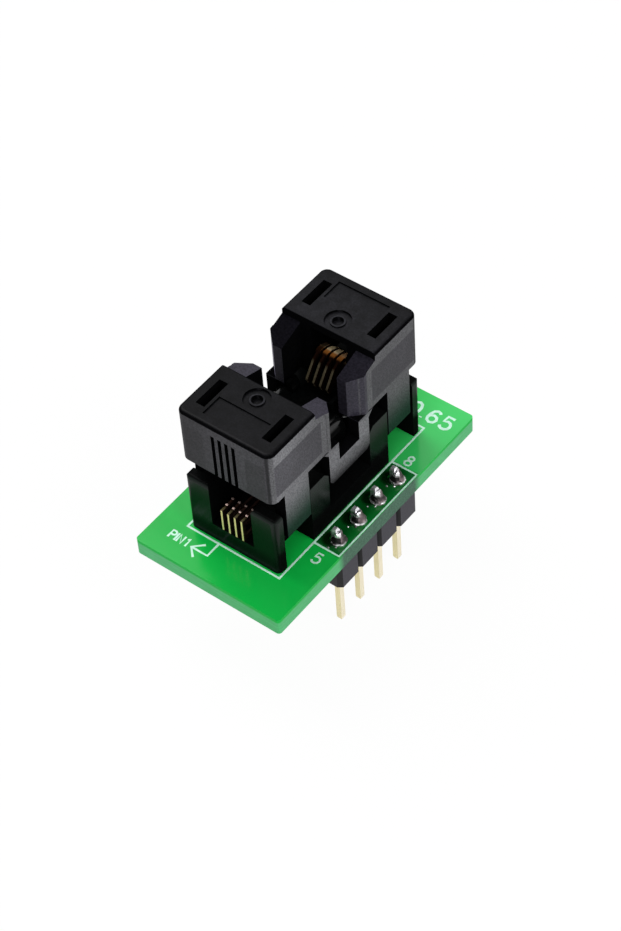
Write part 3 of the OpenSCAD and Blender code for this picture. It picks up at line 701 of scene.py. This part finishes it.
class SOCKET_OT_header(bpy.types.Operator):
    """Plastic strips and plated pins of the header"""

    bl_idname = "socket.header"
    bl_label = "Finish the header"

    def dress_strips(self, colours):
        strip = Finish("header_plastic", roughness=0.5, specular_ior_level=0.25)
        grain = strip.noise(strip.place(), 5.0)
        plain = strip.uneven(grain, colours.strip_dark, 0.85, 1.15)
        # Notch faces drawn almost black as painted shade
        notch = abs(strip.facing()[1]).ramp(0.3, 0.6)
        strip.feed("Base Color", strip.blend(notch, plain, tint(colours.strip_dark, 0.1)))
        strip.bump(grain, 0.01, 0.4)
        strip.paint(*STRIP_NODES)

    def dress_pins(self, colours):
        pin = Finish("pin_plating")
        place = pin.place()
        drawn = pin.node("ShaderNodeMapping", inputs={"Vector": place, "Scale": (6, 6, 0.4)})
        streak = pin.noise(drawn, 2.0)
        # The faces across X drawn in the paler colour
        paler = abs(pin.facing()[0]).ramp(0.6, 0.9)
        tinned = pin.axes(place)[2].ramp(BOARD_Z - 0.2, BOARD_Z)
        pin.feed("Base Color", pin.layered(
            pin.uneven(streak, colours.pin_gold, 0.92, 1.04),
            (paler, colours.pin_pale),
            (tinned, colours.solder_grey),
        ))
        pin.feed("Roughness", 0.26 + streak * 0.2)
        pin.feed("Metallic", 0.55 + tinned * 0.45)
        pin.paint(*PIN_NODES)

    def execute(self, context):
        self.dress_strips(context.scene.socket_finishes)
        self.dress_pins(context.scene.socket_finishes)
        return {"FINISHED"}


class SOCKET_OT_contacts(bpy.types.Operator):
    """Plated contact strips, gold on the feet and coppery on the arms, with painted shade on their flanks and
    painted highlights on the loops
    """

    bl_idname = "socket.contacts"
    bl_label = "Finish the contacts"

    # Heights above the board, in millimetres, where the bumps on the feet and the loops of the arms begin
    BUMP_RISE = 4.02
    LOOP_RISE = 8.6

    def off_middle(self, x):
        """Distance across from the middle of the nearest contact."""
        return (x - LEAD_PITCH / 2).maths("PINGPONG", LEAD_PITCH / 2)

    def dress_feet(self, colours):
        foot = Finish("contact_foot_plating")
        place = foot.place()
        x, y, z = foot.axes(place)
        _, ny, nz = foot.facing()
        cloud = foot.noise(place, 3.0)
        off_middle = self.off_middle(x)
        out_y = box_mm("contact_5")[1].y
        end_edge = abs(ny).ramp(0.8, 0.95) * abs(y).ramp(9.0, 9.1) * off_middle.fall(0.06, 0.1)
        bump = z.ramp(BOARD_Z + self.BUMP_RISE, BOARD_Z + self.BUMP_RISE + 0.03)
        upper = nz.ramp(0.3, 0.8)
        gold_upper_end = upper * abs(y).ramp(out_y - 0.7, out_y - 0.2) * off_middle.fall(0.08, 0.16)
        inner_row = abs(y).fall(out_y - 1.2, out_y - 1.0)
        # Painted light: the upper faces lighter than the dark flanks; faint gold drawn on the upper faces
        # near the outer ends
        foot.feed("Base Color", foot.layered(
            foot.uneven(cloud, colours.contact_shade, 0.8, 1.2),
            (upper, tint(colours.contact_shade, 2.0)),
            (gold_upper_end, tint(colours.contact_gold, 0.2)),
            (end_edge, colours.contact_gold),
            (bump, tint(colours.contact_bump, 1.25)),
            (bump * inner_row, tint(colours.contact_bump, 0.35)),
        ))
        foot.feed("Metallic", 0.3 + cloud * 0.2)
        foot.feed("Roughness", 0.4 + cloud * 0.16)
        foot.paint(*FOOT_NODES)

    def dress_arms(self, colours):
        arm = Finish("contact_arm_plating", specular_ior_level=0.0)
        place = arm.place()
        x, y, z = arm.axes(place)
        nx, _, nz = arm.facing()
        cloud = arm.noise(place, 3.0)
        edge = abs(nx).fall(0.3, 0.7)
        finger = edge * abs(y).fall(2.7, 2.98) * nz.fall(0.75, 0.85) * self.off_middle(x).fall(0.06, 0.15)
        loop_z = BOARD_Z + self.LOOP_RISE
        loop = edge * abs(y).ramp(3.5, 3.95) * z.ramp(loop_z, loop_z + 0.6) * nz.ramp(-0.1, 0.2)
        band = loop * x.ramp(-0.85, -0.6, 0.04, 1)
        shine = band * abs(y).ramp(3.92, 4.22) * x.ramp(0.5, 0.8, 1, 0.3)
        # Painted shade on the flanks, on the upper fingers and on the leftmost loop, which is left dark;
        # painted highlight in cream on the backs of the loops, weaker on the right
        plating = arm.layered(
            arm.blend(finger, tint(colours.contact_shade, 0.5), colours.arm_gold),
            (band, tint(colours.arm_copper, 0.55)),
            (shine, colours.arm_highlight),
        )
        arm.feed("Base Color", arm.scaled(plating, cloud.spread(0.85, 1.1)))
        arm.feed("Metallic", (band - shine) * 0.35 + 0.05)
        arm.feed("Roughness", 0.5 - band * 0.2 + cloud * 0.16)
        arm.paint(*ARM_NODES)

    def execute(self, context):
        self.dress_feet(context.scene.socket_finishes)
        self.dress_arms(context.scene.socket_finishes)
        return {"FINISHED"}


class SOCKET_OT_solder(bpy.types.Operator):
    """Hand-soldered joints round the header pins, and the tails under the board"""

    bl_idname = "socket.solder"
    bl_label = "Make the solder joints"

    # Outline of a joint as shares of its radius and height
    OUTLINE = (
        (1, -0.04), (1, 0.05), (0.92, 0.14), (0.8, 0.25), (0.68, 0.39),
        (0.59, 0.54), (0.52, 0.7), (0.47, 0.86), (0.4, 0.98), (0, 1.04),
    )
    TURN_STEPS = 24

    # Shares of a joint's height below which it is pushed outwards, one after another
    PUSH_BELOW = (0.75, 0.5, 0.25)

    # Places of the beads of solder beside a joint, measured from its pin
    BEADS = (Vector((-0.24, -1.06, 0)) * MM, Vector((0.23, -0.71, 0)) * MM)
    BEAD_R = 0.08 * MM
    BEAD_STRETCH = (1.2, 1, 0.7)

    # Size and depth of the lumps on the solder
    LUMP_SIZE = 0.45 * MM
    LUMP_DEPTH = 0.2 * MM

    # Direction across the board towards which the flanks get painted shade
    SHADED_X = -0.75
    SHADED_Y = -0.66

    def first_joint(self, spot, radius, height):
        """One joint round a spot on the board, turned from its outline."""
        points = [
            Vector((spot.x + share * radius, spot.y, BOARD_TOP + rise * height))
            for share, rise in self.OUTLINE
        ]
        middle = (spot.x, spot.y, BOARD_TOP)
        joint = lone_point(points[0])
        draw_through(points)
        bpy.ops.mesh.select_all(action="SELECT")
        bpy.ops.mesh.spin(steps=self.TURN_STEPS, angle=math.tau, center=middle, axis=(0, 0, 1))
        bpy.ops.mesh.select_all(action="SELECT")
        bpy.ops.mesh.remove_doubles(threshold=MM / 500)
        bpy.ops.mesh.select_all(action="DESELECT")
        bpy.ops.mesh.select_non_manifold()
        bpy.ops.mesh.fill_holes(sides=0)
        bpy.ops.mesh.select_all(action="SELECT")
        bpy.ops.mesh.normals_make_consistent(inside=False)
        bpy.ops.object.mode_set(mode="OBJECT")
        return joint

    def copy_to(self, piece, step, turn, middle):
        """A copy of a piece, moved by a step and turned about a middle, so that no two joints look alike."""
        deselect()
        piece.select_set(True)
        bpy.context.view_layer.objects.active = piece
        bpy.ops.object.duplicate(linked=False)
        copy = bpy.context.object
        bpy.ops.object.mode_set(mode="EDIT")
        bpy.ops.mesh.select_all(action="SELECT")
        bpy.ops.transform.rotate(value=turn, orient_axis="Z", center_override=middle)
        bpy.ops.transform.translate(value=step)
        bpy.ops.object.mode_set(mode="OBJECT")
        return copy

    def first_bead(self, spot):
        """A small bead of solder that stuck to the board beside a joint."""
        deselect()
        bpy.ops.mesh.primitive_uv_sphere_add(segments=12, ring_count=8, radius=self.BEAD_R, location=spot)
        bead = bpy.context.object
        bpy.ops.object.transform_apply(location=True, rotation=True, scale=True)
        bpy.ops.object.mode_set(mode="EDIT")
        bpy.ops.mesh.select_all(action="SELECT")
        bpy.ops.transform.resize(value=self.BEAD_STRETCH, center_override=spot)
        bpy.ops.object.mode_set(mode="OBJECT")
        return bead

    def push_out(self, piece, marks):
        """Moves the lower parts of the joints outwards, the way the solder ran."""
        stretch = 1 + marks.solder_lean / marks.row_x / len(self.PUSH_BELOW)
        for share in self.PUSH_BELOW:
            for point in piece.data.vertices:
                point.select = point.co.z < BOARD_TOP + share * marks.solder_h
            bpy.ops.object.mode_set(mode="EDIT")
            bpy.ops.transform.resize(value=(stretch, 1, 1), center_override=(0, 0, 0))
            bpy.ops.object.mode_set(mode="OBJECT")

    def roughen(self, piece):
        """Rounds the joints and gives them lumps."""
        smooth = piece.modifiers.new("rounding", "SUBSURF")
        smooth.levels = smooth.render_levels = 2
        bpy.ops.object.modifier_apply(modifier=smooth.name)
        lumps = bpy.data.textures.new("solder_lumps", "CLOUDS")
        lumps.noise_scale = self.LUMP_SIZE
        uneven = piece.modifiers.new("lumps", "DISPLACE")
        uneven.texture = lumps
        uneven.texture_coords = "LOCAL"
        uneven.strength = self.LUMP_DEPTH
        uneven.mid_level = 0.5
        bpy.ops.object.modifier_apply(modifier=uneven.name)
        bpy.ops.object.shade_smooth()

    def metal(self, colours):
        """Solder: painted highlights on the tips and glints on the rims, dull flanks, and painted shade on
        one side.
        """
        solder = Finish("bright_solder")
        place = solder.place()
        rise = abs(solder.axes(place)[2] - BOARD_Z)
        dull = solder.noise(place, 1.6, 2.0)
        nx, ny, _ = solder.facing()
        shaded_way = nx * self.SHADED_X + ny * self.SHADED_Y
        # Painted highlight on the tips, on the side away from the painted shade, and painted glints on the
        # rims
        tip = rise.ramp(0.62, 0.86) * shaded_way.ramp(-0.6, -0.1)
        bright = solder.highest(tip, rise.fall(0.1, 0.24) * dull.ramp(0.4, 0.55))
        shaded_flank = (shaded_way + dull * 1.4).ramp(0.55, 0.85) * rise.ramp(0.1, 0.2) * rise.fall(0.6, 0.8)
        dark, pale = tint(colours.solder_dull, 0.4), tint(colours.solder_dull, 1.7)
        solder.feed("Base Color", solder.layered(
            solder.blend(dull.ramp(0.35, 0.6), dark, pale),
            (shaded_flank, tint(colours.solder_dull, 0.06)),
            (bright, colours.solder_grey),
        ))
        solder.feed("Metallic", 0.5 + bright * 0.45)
        solder.feed("Roughness", 0.36 - bright * 0.22)
        return solder

    def execute(self, context):
        marks = context.scene.socket_marks
        spots = [sum(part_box(name), Vector()) / 2 for name in PIN_NODES]
        first = self.first_joint(spots[0], marks.solder_r, marks.solder_h)
        joints = [first] + [
            self.copy_to(first, spot - spots[0], turn, spots[0]) for turn, spot in enumerate(spots[1:], 1)
        ]
        ground = Vector((spots[0].x, spots[0].y, BOARD_TOP))
        bead = self.first_bead(ground + self.BEADS[0])
        steps = [spot - spots[0] + place - self.BEADS[0] for spot in spots for place in self.BEADS]
        beads = [bead] + [self.copy_to(bead, step, 0, ground) for step in steps[1:]]
        piece = join(joints + beads, "solder_joints")
        self.push_out(piece, marks)
        self.roughen(piece)
        solder = self.metal(context.scene.socket_finishes)
        solder.dress(piece)
        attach(piece, FIXED_BODY)
        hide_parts("header_solder")
        solder.paint("tail_solder")
        return {"FINISHED"}


class SOCKET_OT_stage(bpy.types.Operator):
    """Camera, soft lights, pale floor and white surroundings"""

    bl_idname = "socket.stage"
    bl_label = "Set the stage"

    # Distance of the lights and size of the floor, in metres
    LIGHT_DISTANCE = 0.4
    FLOOR_SIZE = 2

    # Grey of the floor, and the share of plain white over it that keeps its shadows faint
    FLOOR_GREY = 0.85
    FLOOR_WHITE = 0.96

    def soft_light(self, name, azimuth, elevation, size, level):
        """A square soft light, at angles in degrees, that lights a facing white card to a level."""
        towards = direction(math.radians(azimuth), math.radians(elevation))
        deselect()
        bpy.ops.object.light_add(type="AREA", location=towards * self.LIGHT_DISTANCE)
        lamp = bpy.context.object
        lamp.name = name
        lamp.data.size = size
        lamp.data.energy = level * (math.pi * self.LIGHT_DISTANCE) ** 2
        lamp.rotation_euler = towards.to_track_quat("Z", "Y").to_euler()

    def white_to_the_eye(self, tree):
        """One where the camera, a reflection or a see-through piece looks at the surface."""
        path = tree.nodes.new("ShaderNodeLightPath")
        total = path.outputs["Is Camera Ray"]
        for name in ("Is Glossy Ray", "Is Transmission Ray"):
            either = tree.nodes.new("ShaderNodeMath")
            either.operation = "MAXIMUM"
            tree.links.new(total, either.inputs[0])
            tree.links.new(path.outputs[name], either.inputs[1])
            total = either.outputs[0]
        return total

    def set_world(self, scene, ambient):
        world = bpy.data.worlds.new("white_surroundings")
        scene.world = world
        world.use_nodes = True
        tree = world.node_tree
        back = tree.nodes["Background"]
        back.inputs["Color"].default_value = (1, 1, 1, 1)
        level = tree.nodes.new("ShaderNodeMapRange")
        tree.links.new(self.white_to_the_eye(tree), level.inputs["Value"])
        level.inputs["To Min"].default_value = ambient
        level.inputs["To Max"].default_value = 1
        tree.links.new(level.outputs[0], back.inputs["Strength"])

    def set_floor(self):
        deselect()
        bpy.ops.mesh.primitive_plane_add(size=self.FLOOR_SIZE, location=(0, 0, 0))
        floor = bpy.context.object
        floor.name = "pale_floor"
        card = Finish("pale_card", base_color=(self.FLOOR_GREY,) * 3, roughness=0.9, specular_ior_level=0.0)
        tree = card.tree
        glow = tree.nodes.new("ShaderNodeEmission")
        mix = tree.nodes.new("ShaderNodeMixShader")
        share = tree.nodes.new("ShaderNodeMath")
        share.operation = "MULTIPLY"
        share.inputs[1].default_value = self.FLOOR_WHITE
        tree.links.new(self.white_to_the_eye(tree), share.inputs[0])
        tree.links.new(share.outputs[0], mix.inputs[0])
        tree.links.new(card.surface.outputs[0], mix.inputs[1])
        tree.links.new(glow.outputs[0], mix.inputs[2])
        tree.links.new(mix.outputs[0], tree.nodes["Material Output"].inputs["Surface"])
        card.dress(floor)

    def set_camera(self, scene, studio):
        back = direction(studio.azimuth, studio.elevation)
        level = Vector((math.cos(studio.azimuth), math.sin(studio.azimuth), 0))
        upright = back.cross(level)
        right = math.cos(studio.roll) * level + math.sin(studio.roll) * upright
        up = math.cos(studio.roll) * upright - math.sin(studio.roll) * level
        spot = Vector((studio.target_x, studio.target_y, BOARD_TOP)) + back * studio.distance
        deselect()
        bpy.ops.object.camera_add(location=spot)
        camera = bpy.context.object
        camera.name = "photo_camera"
        camera.rotation_euler = Matrix((right, up, back)).transposed().to_euler()
        camera.data.lens = studio.lens
        camera.data.clip_start = 1 * MM
        camera.data.clip_end = 10
        scene.camera = camera

    def execute(self, context):
        scene = context.scene
        studio = scene.socket_studio
        scene.view_settings.view_transform = "Standard"
        self.set_world(scene, studio.ambient)
        self.set_floor()
        self.soft_light("left_light", -100, 58, 0.25, studio.key)
        self.soft_light("right_light", 88, 44, 0.2, studio.fill)
        self.soft_light("front_light", 18, 42, 0.2, studio.front)
        self.set_camera(scene, studio)
        return {"FINISHED"}


class SOCKET_PT_looks(bpy.types.Panel):
    """Lists the steps that dress the test socket"""

    bl_idname = "SOCKET_PT_looks"
    bl_label = "Test socket"
    bl_space_type = "VIEW_3D"
    bl_region_type = "UI"
    bl_category = "Test socket"

    def draw(self, context):
        for step in STEPS:
            self.layout.operator(step.bl_idname)
        for name, group in GROUPS.items():
            box = self.layout.box()
            for value in group.__annotations__:
                box.prop(getattr(context.scene, name), value)


STEPS = (
    SOCKET_OT_cover, SOCKET_OT_base, SOCKET_OT_board, SOCKET_OT_marks,
    SOCKET_OT_header, SOCKET_OT_contacts, SOCKET_OT_solder, SOCKET_OT_stage,
)
GROUPS = {"socket_finishes": SocketFinishes, "socket_marks": SocketMarks, "socket_studio": SocketStudio}


def register():
    for made in (*GROUPS.values(), *STEPS, SOCKET_PT_looks):
        bpy.utils.register_class(made)
    for name, group in GROUPS.items():
        setattr(bpy.types.Scene, name, PointerProperty(type=group))


def unregister():
    for name in GROUPS:
        delattr(bpy.types.Scene, name)
    for made in reversed((*GROUPS.values(), *STEPS, SOCKET_PT_looks)):
        bpy.utils.unregister_class(made)


def main():
    register()
    bpy.ops.socket.cover()
    bpy.ops.socket.base()
    bpy.ops.socket.board()
    bpy.ops.socket.marks()
    bpy.ops.socket.header()
    bpy.ops.socket.contacts()
    bpy.ops.socket.solder()
    bpy.ops.socket.stage()


if __name__ == "__main__":
    main()
